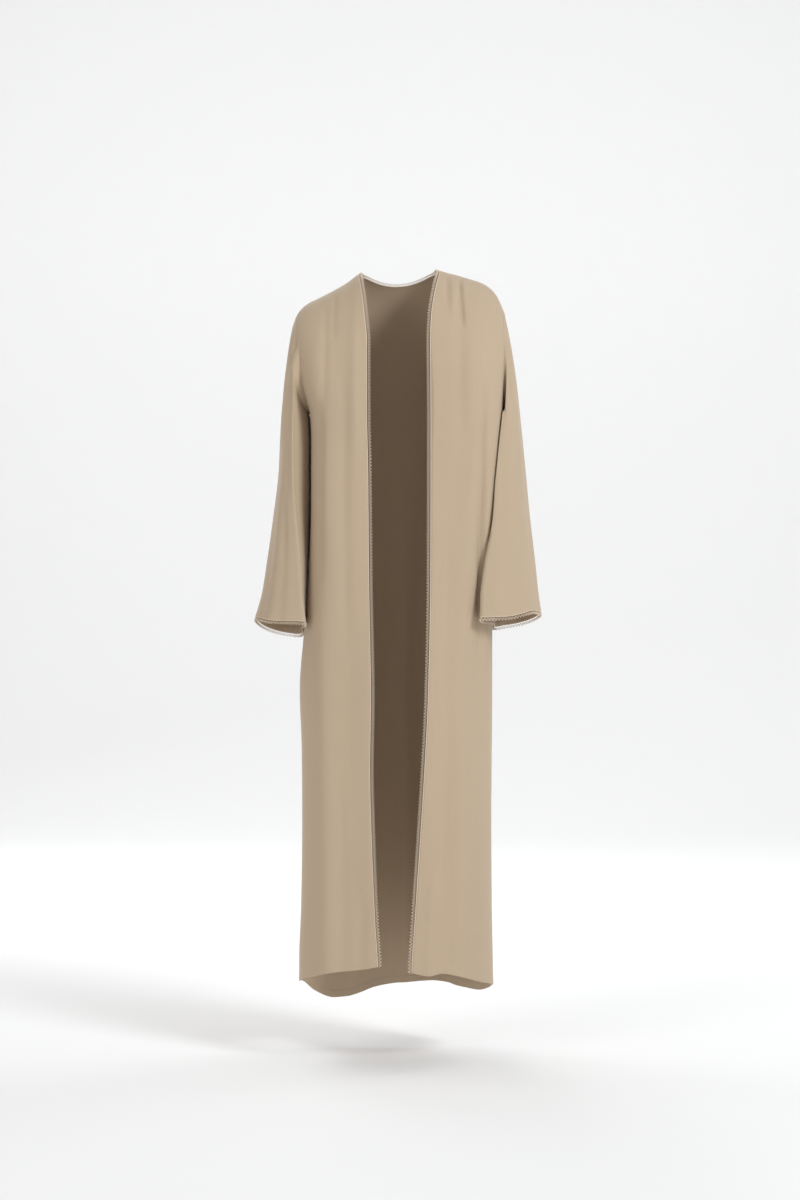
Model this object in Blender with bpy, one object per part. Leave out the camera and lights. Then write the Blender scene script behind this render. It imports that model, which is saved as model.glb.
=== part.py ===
"""Abaya cloak as it is worn: open down the front, with wide hanging sleeves and a looped picot trim.

Metres, +Z up. The wearer faces -Y and the wearer's left arm is at +X. The origin is between the two
shoulder seams at the neck, where the wearer's shoulders hold the garment up.
Every cloth panel is a thin wall about a middle surface that a few section tables work out.
"""

from collections import namedtuple

import bmesh
import bpy
import numpy as np

# Driving dimensions
CLOTH = 0.0016
TRIM_THICK = 0.0014
TRIM_WIDTH = 0.0088
SEAM_GAP = 0.0003
NECK_BEHIND = 0.030
SLEEVE_CLEAR = 0.005

Finish = namedtuple("Finish", "colour roughness")
CREPE = Finish((0.53, 0.42, 0.31), 0.75)
THREAD = Finish((0.62, 0.51, 0.38), 0.65)

# Grid of each panel: the number of cells round it and down it
FRONT_ROUND = 11
SHOULDER_ROUND = 6
NECK_ROUND = 8
ARMHOLE_HALF = 10
BODY_DOWN = 25
SLEEVE_DOWN = 14

# The worn body by height: half widths at the two side seams, and how far the front and the back stand out
Section = namedtuple("Section", "height right left front back right_square left_square")
SECTIONS = [
    Section(-1.50, 0.198, 0.192, 0.126, 0.140, 2.5, 2.5),
    Section(-1.38, 0.198, 0.190, 0.124, 0.138, 2.5, 2.5),
    Section(-1.26, 0.194, 0.188, 0.122, 0.136, 2.5, 2.5),
    Section(-1.10, 0.192, 0.187, 0.121, 0.134, 2.5, 2.5),
    Section(-0.96, 0.193, 0.188, 0.120, 0.132, 2.5, 2.5),
    Section(-0.84, 0.197, 0.189, 0.120, 0.130, 2.5, 2.5),
    Section(-0.72, 0.188, 0.189, 0.120, 0.127, 2.8, 2.7),
    Section(-0.60, 0.178, 0.194, 0.121, 0.122, 3.5, 3.4),
    Section(-0.46, 0.173, 0.202, 0.123, 0.117, 4.2, 4.0),
    Section(-0.34, 0.173, 0.2065, 0.127, 0.115, 4.2, 4.7),
    Section(-0.285, 0.176, 0.2085, 0.129, 0.115, 4.4, 5.4),
    Section(-0.25, 0.190, 0.211, 0.129, 0.115, 4.1, 5.4),
    Section(-0.20, 0.204, 0.220, 0.128, 0.114, 3.6, 4.5),
    Section(-0.15, 0.217, 0.226, 0.124, 0.110, 3.0, 3.4),
    Section(-0.10, 0.216, 0.224, 0.117, 0.103, 2.6, 2.6),
    Section(0.02, 0.216, 0.224, 0.105, 0.098, 2.4, 2.4),
]

# The shoulder line of each side: the height of the top of the cloth, out from the middle
Shoulder = namedtuple("Shoulder", "out right left")
SHOULDERS = [
    Shoulder(0.000, 0.0085, 0.0085),
    Shoulder(0.030, 0.0065, 0.0088),
    Shoulder(0.060, 0.0030, 0.0080),
    Shoulder(0.080, -0.006, 0.003),
    Shoulder(0.100, -0.021, -0.003),
    Shoulder(0.120, -0.033, -0.008),
    Shoulder(0.140, -0.044, -0.014),
    Shoulder(0.160, -0.054, -0.020),
    Shoulder(0.175, -0.061, -0.027),
    Shoulder(0.187, -0.069, -0.036),
    Shoulder(0.197, -0.079, -0.048),
    Shoulder(0.203, -0.088, -0.059),
    Shoulder(0.210, -0.104, -0.076),
    Shoulder(0.216, -0.130, -0.097),
    Shoulder(0.226, -0.200, -0.160),
]

# How far below the shoulder line the cloth has turned down the front or the back
Turn = namedtuple("Turn", "out front back")
TURNS = [
    Turn(0.00, 0.150, 0.110),
    Turn(0.09, 0.140, 0.105),
    Turn(0.15, 0.115, 0.095),
    Turn(0.21, 0.095, 0.090),
]

# The two front edges of the cloth, out from the middle, by height
Edge = namedtuple("Edge", "height right left")
EDGES = [
    Edge(-1.45, 0.0400, 0.0270),
    Edge(-1.39, 0.0402, 0.0277),
    Edge(-1.29, 0.0460, 0.0337),
    Edge(-1.15, 0.0520, 0.0430),
    Edge(-0.99, 0.0560, 0.0530),
    Edge(-0.86, 0.0542, 0.0595),
    Edge(-0.62, 0.0580, 0.0645),
    Edge(-0.39, 0.0600, 0.0650),
    Edge(-0.30, 0.0620, 0.0650),
    Edge(-0.15, 0.0622, 0.0640),
    Edge(-0.10, 0.0665, 0.0660),
    Edge(-0.06, 0.0710, 0.0715),
    Edge(-0.03, 0.0755, 0.0775),
    Edge(0.00, 0.0800, 0.0840),
    Edge(0.02, 0.0800, 0.0840),
]

# The hem by how far round each panel it is, from the front edge to the side seam or the middle back to it
Hem = namedtuple("Hem", "share front_right front_left back_right back_left")
HEMS = [
    Hem(0.00, -1.379, -1.391, -1.449, -1.449),
    Hem(0.10, -1.385, -1.397, -1.457, -1.446),
    Hem(0.20, -1.388, -1.393, -1.468, -1.444),
    Hem(0.30, -1.391, -1.397, -1.475, -1.446),
    Hem(0.40, -1.395, -1.403, -1.476, -1.452),
    Hem(0.60, -1.406, -1.415, -1.459, -1.456),
    Hem(0.80, -1.415, -1.423, -1.434, -1.446),
    Hem(0.92, -1.421, -1.428, -1.427, -1.436),
    Hem(1.00, -1.424, -1.431, -1.424, -1.431),
]

# The armhole rings: the top and the bottom of each, how far they stand to the front and the back, and how far
# they bow outwards above the underarm
Armhole = namedtuple("Armhole", "top_out top_height low_out low_height front back bow")
ARMHOLES = {
    "right": Armhole(0.2030, -0.088, 0.1760, -0.285, 0.084, 0.068, 0.005),
    "left": Armhole(0.2090, -0.0735, 0.2085, -0.285, 0.086, 0.068, 0.001),
}

# Each sleeve from the armhole to the cuff. outer, ridge, inner and heel are distances out from the middle: of
# the outside, the fold at the front, the side next to the body and the fold at the back. front and back are how
# far those two folds stand out, and back_drop is how much lower the back layer hangs.
Sleeve = namedtuple("Sleeve", "share outer_height inner_height outer ridge inner heel front back back_drop")
SLEEVES = {
    "right": [
        Sleeve(0.00, -0.088, -0.285, 0.2030, 0.1895, 0.1760, 0.1895, 0.084, 0.068, 0.000),
        Sleeve(0.06, -0.116, -0.289, 0.2125, 0.2020, 0.1745, 0.189, 0.086, 0.069, 0.000),
        Sleeve(0.14, -0.161, -0.296, 0.2195, 0.2055, 0.1700, 0.187, 0.088, 0.071, 0.000),
        Sleeve(0.24, -0.225, -0.320, 0.2280, 0.2065, 0.1660, 0.184, 0.089, 0.074, 0.000),
        Sleeve(0.36, -0.310, -0.370, 0.2355, 0.2070, 0.1650, 0.183, 0.090, 0.078, 0.001),
        Sleeve(0.50, -0.400, -0.430, 0.2395, 0.2060, 0.1670, 0.184, 0.090, 0.082, 0.003),
        Sleeve(0.64, -0.490, -0.505, 0.2500, 0.2000, 0.1710, 0.188, 0.090, 0.086, 0.006),
        Sleeve(0.78, -0.575, -0.588, 0.2620, 0.1920, 0.1730, 0.194, 0.090, 0.089, 0.012),
        Sleeve(0.90, -0.645, -0.660, 0.2730, 0.1880, 0.1800, 0.204, 0.090, 0.090, 0.019),
        Sleeve(1.00, -0.692, -0.709, 0.2860, 0.1820, 0.1870, 0.214, 0.090, 0.090, 0.026),
    ],
    "left": [
        Sleeve(0.00, -0.0735, -0.285, 0.2090, 0.2088, 0.2085, 0.2088, 0.086, 0.068, 0.000),
        Sleeve(0.06, -0.100, -0.289, 0.2165, 0.2095, 0.2090, 0.209, 0.088, 0.069, 0.000),
        Sleeve(0.14, -0.150, -0.296, 0.2265, 0.2085, 0.2080, 0.207, 0.089, 0.071, 0.000),
        Sleeve(0.24, -0.225, -0.320, 0.2380, 0.2035, 0.2060, 0.204, 0.090, 0.074, 0.000),
        Sleeve(0.36, -0.310, -0.370, 0.2470, 0.1975, 0.2050, 0.202, 0.091, 0.078, 0.001),
        Sleeve(0.50, -0.400, -0.430, 0.2560, 0.1925, 0.2020, 0.200, 0.094, 0.082, 0.003),
        Sleeve(0.64, -0.490, -0.505, 0.2645, 0.1870, 0.1980, 0.198, 0.096, 0.085, 0.006),
        Sleeve(0.78, -0.575, -0.588, 0.2745, 0.1710, 0.1930, 0.200, 0.100, 0.087, 0.010),
        Sleeve(0.90, -0.645, -0.660, 0.2820, 0.1620, 0.1890, 0.206, 0.105, 0.088, 0.014),
        Sleeve(1.00, -0.682, -0.702, 0.2870, 0.1610, 0.1870, 0.213, 0.108, 0.088, 0.018),
    ],
}

# The largest folds of the body: where each runs out from the middle, its ends, its width and its rise.
# A rise below zero is a trough.
Fold = namedtuple("Fold", "panel top_out low_out top_height low_height wide rise")
FOLDS = [
    Fold("front_left", 0.132, 0.140, -0.02, -0.40, 0.020, -0.0045),
    Fold("front_left", 0.150, 0.146, -0.03, -0.75, 0.018, 0.0040),
    Fold("front_left", 0.163, 0.158, -0.38, -1.05, 0.022, -0.0060),
    Fold("front_left", 0.105, 0.085, -0.30, -1.60, 0.030, -0.0030),
    Fold("front_left", 0.130, 0.120, -0.90, -1.60, 0.026, 0.0040),
    Fold("front_right", 0.118, 0.128, -0.05, -0.60, 0.026, -0.0040),
    Fold("front_right", 0.140, 0.146, -0.28, -1.00, 0.024, 0.0035),
    Fold("front_right", 0.095, 0.088, -0.55, -1.60, 0.030, -0.0035),
    Fold("front_right", 0.140, 0.135, -0.80, -1.60, 0.028, 0.0045),
    Fold("back_left", 0.000, 0.015, -0.10, -1.60, 0.034, -0.0070),
    Fold("back_left", 0.062, 0.070, -0.12, -1.60, 0.032, 0.0060),
    Fold("back_left", 0.115, 0.125, -0.16, -1.60, 0.030, -0.0070),
    Fold("back_right", 0.050, 0.062, -0.14, -1.60, 0.032, 0.0065),
    Fold("back_right", 0.100, 0.110, -0.12, -1.60, 0.030, -0.0060),
    Fold("back_right", 0.140, 0.148, -0.24, -1.60, 0.026, 0.0050),
]


def along(table, column, key_column, key):
    """The smooth value of one column where another column has the value key."""
    keys = np.array([getattr(row, key_column) for row in table])
    values = np.array([getattr(row, column) for row in table])
    steps = np.diff(values) / np.diff(keys)
    same_way = steps[:-1] * steps[1:] > 0
    total = np.where(same_way, steps[:-1] + steps[1:], 1)
    middle = np.where(same_way, 2 * steps[:-1] * steps[1:] / total, 0)
    slopes = np.concatenate([steps[:1], middle, steps[-1:]])
    key = np.clip(key, keys[0], keys[-1])
    i = np.clip(np.searchsorted(keys, key, side="right") - 1, 0, len(keys) - 2)
    span = keys[i + 1] - keys[i]
    t = (key - keys[i]) / span
    start = values[i] * (1 + 2 * t) * (1 - t) ** 2 + slopes[i] * span * t * (1 - t) ** 2
    end = values[i + 1] * t * t * (3 - 2 * t) + slopes[i + 1] * span * t * t * (t - 1)
    return start + end


def fade(value, start, end):
    """A smooth step from 0 at start to 1 at end."""
    t = np.clip((value - start) / (end - start), 0, 1)
    return t * t * (3 - 2 * t)


def mix(first, second, share):
    return first + (second - first) * share


def turned_down(drop, reach):
    """How far the cloth has come forward a given drop below the shoulder line, from 0 to 1."""
    left = 1 - np.clip(drop / reach, 0, 1)
    return np.sqrt(1 - left * left)


def armhole_stand(side, face, height):
    """How far the armhole ring stands to the front or the back at a height."""
    ring = ARMHOLES[side]
    middle = (ring.top_height + ring.low_height) / 2
    half = (ring.top_height - ring.low_height) / 2
    return getattr(ring, face) * np.sqrt(np.clip(1 - ((height - middle) / half) ** 2, 0, 1))


def armhole_bow(side, share):
    """How far the ring bows outwards, a share of the way down from its top."""
    return ARMHOLES[side].bow * np.sin(np.pi * np.clip(share, 0, 1) ** 2.2)


def armhole_out(side, height):
    ring = ARMHOLES[side]
    share = (ring.top_height - height) / (ring.top_height - ring.low_height)
    return mix(ring.top_out, ring.low_out, share) + armhole_bow(side, share)


def seam_place(side, face, height):
    """Where the panel's last edge is at a height: the armhole above the underarm, the side seam below it."""
    ring = ARMHOLES[side]
    on_ring = height > ring.low_height
    out = np.where(on_ring, armhole_out(side, height), along(SECTIONS, side, "height", height))
    return out, np.where(on_ring, armhole_stand(side, face, height), 0)


def place_out(side, face, share, height, first_out):
    """The distance out and the stand of the points a share of the way along the level section at a height."""
    width = along(SECTIONS, side, "height", height)
    depth = along(SECTIONS, face, "height", height)
    square = along(SECTIONS, side + "_square", "height", height)
    below_top = np.minimum(height, ARMHOLES[side].top_height - 0.003)
    near_out, near_stand = seam_place(side, face, below_top)
    near_drop = np.maximum(along(SHOULDERS, side, "out", near_out) - below_top, 1e-9)
    near_turned = turned_down(near_drop, along(TURNS, face, "out", near_out))
    ratio = np.clip(near_stand / (depth * near_turned), 0, 0.95)
    last = np.arccos(ratio ** (square / 2))
    first = np.arcsin(np.clip(first_out(height) / width, 0, 0.99) ** (square / 2))
    angle = mix(first, last, share)
    pull = (near_out / (width * np.sin(last) ** (2 / square)) - 1) * share**2
    out = width * np.sin(angle) ** (2 / square) * (1 + pull)
    drop = np.maximum(along(SHOULDERS, side, "out", out) - height, 0)
    stand = depth * np.cos(angle) ** (2 / square) * turned_down(drop, along(TURNS, face, "out", out))
    seam_out, seam_stand = seam_place(side, face, height)
    return np.where(share >= 1, seam_out, out), np.where(share >= 1, seam_stand, stand)


def body_point(side, face, share, down, first_out, last_hem, top_drop):
    """A point of the body's middle surface, as arrays out, stand and height.

    share runs from first_out, a function of height, to the armhole and the side seam. down runs from the
    shoulder line, or top_drop below it, to the hem.
    """
    ring = ARMHOLES[side]
    out = mix(0.08, ring.top_out, share)
    for _ in range(12):
        top = along(SHOULDERS, side, "out", out) - top_drop(out)
        top = np.where(share >= 1, ring.top_height, top)
        out = place_out(side, face, share, top, first_out)[0]
    height = mix(top, last_hem, down)
    out, stand = place_out(side, face, share, height, first_out)
    return out, stand, height


def fold_rise(panel, out, height):
    """The rise of the folds of one panel at these points."""
    rise = np.zeros_like(out)
    for fold in FOLDS:
        if fold.panel != panel:
            continue
        share = np.clip((fold.top_height - height) / (fold.top_height - fold.low_height), 0, 1)
        centre = mix(fold.top_out, fold.low_out, share)
        ends = fade(share, 0.0, 0.25) * (1 - fade(share, 0.75, 1.0))
        rise += fold.rise * ends * np.exp(-(((out - centre) / fold.wide) ** 2))
    return rise


def grid_normals(points, round_closed=False):
    """Unit normals of a grid of points, from the differences along its rows and columns."""
    if round_closed:
        across = np.roll(points, -1, axis=1) - np.roll(points, 1, axis=1)
    else:
        across = np.gradient(points, axis=1)
    down = np.gradient(points, axis=0)
    normals = np.cross(across, down)
    return normals / np.maximum(np.linalg.norm(normals, axis=2, keepdims=True), 1e-12)


def unit(vectors):
    return vectors / np.maximum(np.linalg.norm(vectors, axis=-1, keepdims=True), 1e-12)


def ring_point(side, way, angle):
    """The armhole ring at an angle: 0 at the top, a quarter turn at the front and a half turn at the underarm."""
    ring = ARMHOLES[side]
    height = mix(ring.top_height, ring.low_height, (1 - np.cos(angle)) / 2)
    stand = np.where(np.sin(angle) >= 0, ring.front, ring.back) * np.sin(angle)
    return np.stack([way * armhole_out(side, height), -stand, height], axis=-1)


def ring_frame(side, way, angle):
    """The outward normal that the body and the sleeve share round the armhole, and the direction over the seam
    from the body to the sleeve."""
    ring = ARMHOLES[side]
    step = 0.02
    tangent = unit(ring_point(side, way, angle + step) - ring_point(side, way, angle - step))
    half = (ring.top_height - ring.low_height) / 2
    stand = np.where(np.sin(angle) >= 0, ring.front, ring.back)
    flat = unit(np.stack([0 * angle, -np.sin(angle) / stand, np.cos(angle) / half], axis=-1))
    lean = 1.15 * (1 + np.cos(angle)) / 2
    normal = flat + lean[..., None] * np.array([way, 0, 0])
    normal = unit(normal - (normal * tangent).sum(axis=-1, keepdims=True) * tangent)
    across = unit(np.cross(tangent, normal))
    return normal, across * np.sign(across[..., :1] * way)


def ring_angle(side, face, height):
    ring = ARMHOLES[side]
    middle = (ring.top_height + ring.low_height) / 2
    half = (ring.top_height - ring.low_height) / 2
    angle = np.arccos(np.clip((height - middle) / half, -1, 1))
    return angle if face == "front" else -angle


def panel_rows(side):
    """Row positions from the shoulder to the hem: even round the armhole, and wider apart from the underarm down."""
    ring = ARMHOLES[side]
    hem = getattr(HEMS[-1], "front_" + side)
    low = (ring.top_height - ring.low_height) / (ring.top_height - hem)
    upper = low * (1 - np.cos(np.linspace(0, np.pi, ARMHOLE_HALF + 1))) / 2
    below = np.linspace(0, 1, BODY_DOWN - ARMHOLE_HALF + 1)[1:]
    return np.concatenate([upper, low + (1 - low) * below**1.2])


def half_panel(side, face, shares, first_out, hem_columns, top_drop):
    """Middle points and normals of one half of the body, from its first edge to the armhole and side seam."""
    way = 1 if side == "left" else -1
    ahead = -1 if face == "front" else 1
    rows = panel_rows(side)
    share, down = np.meshgrid(shares, rows)
    hem = along(HEMS, hem_columns, "share", share)
    out, stand, height = body_point(side, face, share, down, first_out, hem, top_drop)
    points = np.stack([way * out, ahead * stand, height], axis=2)
    normals = grid_normals(points)
    normals *= np.sign(normals[:, :1, 1:2] * ahead)
    edge_fade = 1 - fade(share, 0.86, 1.0)
    rise = fold_rise(f"{face}_{side}", out, height) * edge_fade * fade(down, 0.0, 0.02)
    points = points + normals * rise[..., None]
    normals = grid_normals(points)
    return points, normals * np.sign(normals[:, :1, 1:2] * ahead)


def seam_side(points, normals, side, face):
    """Sets the armhole and side seam column: shared normals, and half of the seam gap."""
    way = 1 if side == "left" else -1
    ahead = -1 if face == "front" else 1
    ring = ARMHOLES[side]
    height = points[:, -1, 2].copy()
    on_ring = height >= ring.low_height - 1e-6
    angle = ring_angle(side, face, height)
    slope = np.gradient(points[:, -1, 0], points[:, -1, 2])
    plain = unit(np.stack([np.full_like(slope, way), 0 * slope, -way * slope], axis=1))
    shared, across = ring_frame(side, way, angle)
    normals[:, -1] = np.where(on_ring[:, None], shared, plain)
    back_off = across * SEAM_GAP / 2
    points[:, -1] -= np.where(on_ring[:, None], back_off, 0)
    past = (height <= ring.low_height + 1e-6) | (np.arange(len(height)) == 0)
    points[:, -1, 1] += np.where(past, ahead * SEAM_GAP / 2, 0)


def seam_shoulder(points, normals, columns, side, face):
    """Sets the shoulder seam row over some columns: shared normals, and half of the seam gap."""
    way = 1 if side == "left" else -1
    ahead = -1 if face == "front" else 1
    for column in columns:
        out = abs(points[0, column, 0])
        near = along(SHOULDERS, side, "out", np.array([out - 0.004, out + 0.004]))
        slope = (near[1] - near[0]) / 0.008
        normals[0, column] = unit(np.array([-way * slope, 0, 1.0]))
        points[0, column, 1] = ahead * SEAM_GAP / 2


def front_grid(side):
    shares = np.linspace(0, 1, FRONT_ROUND + 1)
    edge = lambda height: along(EDGES, side, "height", height)
    points, normals = half_panel(side, "front", shares, edge, "front_" + side, lambda out: 0 * out)
    seam_side(points, normals, side, "front")
    seam_shoulder(points, normals, range(FRONT_ROUND), side, "front")
    normals[0, -1] = ring_frame(side, 1 if side == "left" else -1, np.array(0.0))[0]
    return points, normals


def back_neck_drop(side):
    neck_out = EDGES[-1].right if side == "right" else EDGES[-1].left
    return lambda out: NECK_BEHIND * np.clip(1 - (out / neck_out) ** 2, 0, 1)


def back_grid():
    """The back in one piece, from the right side seam over the middle to the left one."""
    halves = []
    zero = lambda height: 0 * height
    for side in ("right", "left"):
        dense = np.linspace(0, 1, 201)
        top_out = body_point(side, "back", dense, 0 * dense, zero, -1.43, zero)[0]
        neck_share = np.interp(getattr(EDGES[-1], side), top_out, dense)
        shares = np.concatenate(
            [
                np.linspace(0, neck_share, NECK_ROUND // 2 + 1),
                np.linspace(neck_share, 1, SHOULDER_ROUND + 1)[1:],
            ]
        )
        points, normals = half_panel(side, "back", shares, zero, "back_" + side, back_neck_drop(side))
        seam_side(points, normals, side, "back")
        seams = range(NECK_ROUND // 2, NECK_ROUND // 2 + SHOULDER_ROUND)
        seam_shoulder(points, normals, seams, side, "back")
        normals[0, -1] = ring_frame(side, 1 if side == "left" else -1, np.array(0.0))[0]
        halves.append((points, normals))
    (right, right_normals), (left, left_normals) = halves
    middle = (right[:, :1] + left[:, :1]) / 2
    points = np.concatenate([right[:, :0:-1], middle, left[:, 1:]], axis=1)
    middle_normal = unit(right_normals[:, :1] + left_normals[:, :1])
    normals = np.concatenate([right_normals[:, :0:-1], middle_normal, left_normals[:, 1:]], axis=1)
    return points, normals


def clear_of_body(side, out, stand, height):
    """Moves sleeve points out until they are just clear of the body, or of the armhole above the underarm."""
    width = along(SECTIONS, side, "height", height)
    front_depth = along(SECTIONS, "front", "height", height)
    depth = np.where(stand > 0, front_depth, along(SECTIONS, "back", "height", height))
    square = along(SECTIONS, side + "_square", "height", height)
    inside = ((out / width) ** square + (np.abs(stand) / depth) ** square) ** (1 / square)
    radius = np.hypot(out, stand)
    grow = np.maximum((radius / inside + SLEEVE_CLEAR) / radius, 1)
    below = height < ARMHOLES[side].low_height
    beside = np.maximum(out, armhole_out(side, height) + SLEEVE_CLEAR)
    return np.where(below, out * grow, beside), np.where(below, stand * grow, stand)


def sleeve_grid(side):
    """A sleeve as rings from the armhole to the cuff."""
    way = 1 if side == "left" else -1
    table = SLEEVES[side]
    rows = np.linspace(0, 1, SLEEVE_DOWN + 1)
    rows = 0.55 * rows + 0.45 * rows**1.7
    angles = np.arange(2 * ARMHOLE_HALF) * np.pi / ARMHOLE_HALF
    angle, share = np.meshgrid(angles, rows)
    value = {name: along(table, name, "share", share) for name in Sleeve._fields[1:]}
    cos, sin = np.cos(angle), np.sin(angle)
    plain = (value["outer"] + value["inner"]) / 2
    ridge = np.where(sin > 0, value["ridge"], value["heel"])
    lean = fade(share, 0.0, 0.12)
    ridge = mix(plain, ridge, lean)
    inner_square = np.where(sin > 0, mix(2.0, 1.1, lean), mix(2.0, 2.2, lean))
    square = np.where(cos >= 0, mix(2.0, 2.2, lean), inner_square)
    reach = np.where(cos >= 0, value["outer"] - ridge, value["inner"] - ridge)
    out = ridge + reach * np.abs(cos) ** (2 / square)
    stand = np.where(sin > 0, value["front"], value["back"]) * np.abs(sin) ** (2 / square) * np.sign(sin)
    height = mix(value["outer_height"], value["inner_height"], (1 - cos) / 2)
    height -= value["back_drop"] * np.clip(-sin, 0, 1)
    out += armhole_bow(side, (1 - cos) / 2) * (1 - fade(share, 0.0, 0.22))
    cleared_out, cleared_stand = clear_of_body(side, out, stand, height)
    ramp = fade(share, 0.0, 0.04)
    out, stand = mix(out, cleared_out, ramp), mix(stand, cleared_stand, ramp)
    points = np.stack([way * out, -stand, height], axis=2)
    centre = points.mean(axis=1, keepdims=True)
    normals = grid_normals(points, True)
    facing = (normals * (points - centre)).sum(axis=2)
    normals *= np.sign(np.median(facing))
    normals[0], across = ring_frame(side, way, angles)
    points[0] += across * SEAM_GAP / 2
    return points, normals


def new_material(name, finish):
    material = bpy.data.materials.new(name)
    material.use_nodes = True
    shader = material.node_tree.nodes["Principled BSDF"]
    shader.inputs["Base Color"].default_value = (*finish.colour, 1)
    shader.inputs["Roughness"].default_value = finish.roughness
    shader.inputs["Metallic"].default_value = 0
    material.diffuse_color = (*finish.colour, 1)
    return material


def wall(name, points, normals, thick, finish=CREPE, round_closed=False):
    """A closed wall of even thickness about a grid of middle points."""
    rows, columns = points.shape[:2]
    mesh = bpy.data.meshes.new(name)
    work = bmesh.new()
    faces = {}
    for face, sign in (("outer", 0.5), ("inner", -0.5)):
        moved = points + normals * thick * sign
        faces[face] = [[work.verts.new(tuple(moved[r, c])) for c in range(columns)] for r in range(rows)]
    last = columns if round_closed else columns - 1
    for r in range(rows - 1):
        for c in range(last):
            n = (c + 1) % columns
            for face, order in (("outer", 1), ("inner", -1)):
                g = faces[face]
                work.faces.new([g[r][c], g[r][n], g[r + 1][n], g[r + 1][c]][::order])
    outer, inner = faces["outer"], faces["inner"]
    for c in range(last):
        n = (c + 1) % columns
        for r in (0, rows - 1):
            work.faces.new([outer[r][c], outer[r][n], inner[r][n], inner[r][c]])
    if not round_closed:
        for r in range(rows - 1):
            for c in (0, columns - 1):
                work.faces.new([outer[r][c], outer[r + 1][c], inner[r + 1][c], inner[r][c]])
    bmesh.ops.recalc_face_normals(work, faces=work.faces)
    if work.calc_volume(signed=True) < 0:
        bmesh.ops.reverse_faces(work, faces=work.faces)
    work.to_mesh(mesh)
    work.free()
    for polygon in mesh.polygons:
        polygon.use_smooth = True
    mesh.materials.append(new_material(name + "_finish", finish))
    piece = bpy.data.objects.new(name, mesh)
    bpy.context.collection.objects.link(piece)
    return piece


def edge_strip(name, edge, inside, normals, joins=(), round_closed=False):
    """The trim as a flat strip along an edge of a panel, a seam gap clear of it.

    joins are the ends that meet another strip at the shoulder seam: there the strip is cut along the seam.
    """
    if round_closed:
        tangents = np.roll(edge, -1, axis=0) - np.roll(edge, 1, axis=0)
    else:
        tangents = np.gradient(edge, axis=0)
    away = unit(np.cross(tangents, normals))
    away *= np.sign((away * (edge - inside)).sum(axis=1, keepdims=True))
    for end in joins:
        away[end] = unit(np.cross(np.array([0, 1, 0]), normals[end]))
        away[end] *= -np.sign(away[end, 0] * edge[end, 0])
    columns = [edge + away * distance for distance in (SEAM_GAP, SEAM_GAP + TRIM_WIDTH)]
    points = np.stack(columns, axis=0)
    both = np.stack([normals, normals], axis=0)
    return wall(name, points, both, TRIM_THICK, THREAD, round_closed)


def main():
    for piece in list(bpy.data.objects):
        bpy.data.objects.remove(piece)
    for side in ("right", "left"):
        points, normals = front_grid(side)
        wall("front_" + side, points, normals, CLOTH)
        edge_strip("edge_trim_" + side, points[:, 0], points[:, 1], normals[:, 0], (0,))
        points, normals = sleeve_grid(side)
        wall("sleeve_" + side, points, normals, CLOTH, CREPE, True)
        edge_strip("cuff_trim_" + side, points[-1], points[-2], normals[-1], (), True)
    points, normals = back_grid()
    wall("back", points, normals, CLOTH)
    first = SHOULDER_ROUND
    neck = slice(first, first + NECK_ROUND + 1)
    edge_strip("neck_trim", points[0, neck], points[1, neck], normals[0, neck], (0, -1))


main()
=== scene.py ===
"""The looks of an abaya cloak as it is worn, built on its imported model.

Metres, +Z up. The wearer faces -Y and the wearer's left arm is at +X. The cloth panels are thin sheets on the
forms that the section tables give, and the looped picot trim is worked along their edges.

On the body and the sleeves, "out" is away from the middle of the body, to either side, and "stand" is how far
the cloth is in front of the shoulder line or behind it.
"""

import math
from collections import namedtuple
from functools import lru_cache

import bmesh
import bpy
import numpy as np
from bpy.props import FloatProperty, FloatVectorProperty, PointerProperty
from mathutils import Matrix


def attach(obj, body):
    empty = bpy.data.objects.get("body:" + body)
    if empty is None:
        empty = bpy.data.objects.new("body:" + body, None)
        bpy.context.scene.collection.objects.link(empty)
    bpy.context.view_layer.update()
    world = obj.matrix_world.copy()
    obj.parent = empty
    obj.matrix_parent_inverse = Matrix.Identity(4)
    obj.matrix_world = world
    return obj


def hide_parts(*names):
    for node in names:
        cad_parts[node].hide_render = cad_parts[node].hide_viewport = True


bl_info = {
    "name": "Abaya cloak",
    "version": (1, 0, 0),
    "blender": (4, 5, 0),
    "location": "View3D > Sidebar > Abaya",
    "description": "Makes the cloth panels and the picot trim of an open abaya cloak",
    "category": "Add Mesh",
}

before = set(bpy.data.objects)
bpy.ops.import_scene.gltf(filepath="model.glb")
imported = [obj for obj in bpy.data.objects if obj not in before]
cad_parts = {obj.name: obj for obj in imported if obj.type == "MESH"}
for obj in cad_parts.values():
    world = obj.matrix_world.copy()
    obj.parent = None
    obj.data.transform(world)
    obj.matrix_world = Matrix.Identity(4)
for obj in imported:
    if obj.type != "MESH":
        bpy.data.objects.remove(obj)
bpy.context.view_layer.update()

# The directions along X of the two sides, and along Y of the two faces
WAYS = {"right": -1, "left": 1}
AHEADS = {"front": -1, "back": 1}

# Driving dimensions: how far the back neckline dips, how far the sleeves stay clear of the body, and how far
# the last line of cloth turns in at a seam
NECK_BEHIND = 0.030
SLEEVE_CLEAR = 0.005
SEAM_TUCK = 0.0007

# Cells of the grids: across a front, along one shoulder and along the neckline of the back, down one armhole,
# and down the body and a sleeve. The last rows of a grid are its turned hem.
FRONT_ROUND = 92
SHOULDER_ROUND = 56
NECK_ROUND = 40
ARMHOLE_HALF = 60
BODY_DOWN = 270
SLEEVE_DOWN = 130
BODY_HEM_ROWS = 6
SLEEVE_HEM_ROWS = 5

# Two points that are closer than this are one
SAME_PLACE = 1e-6

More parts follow.
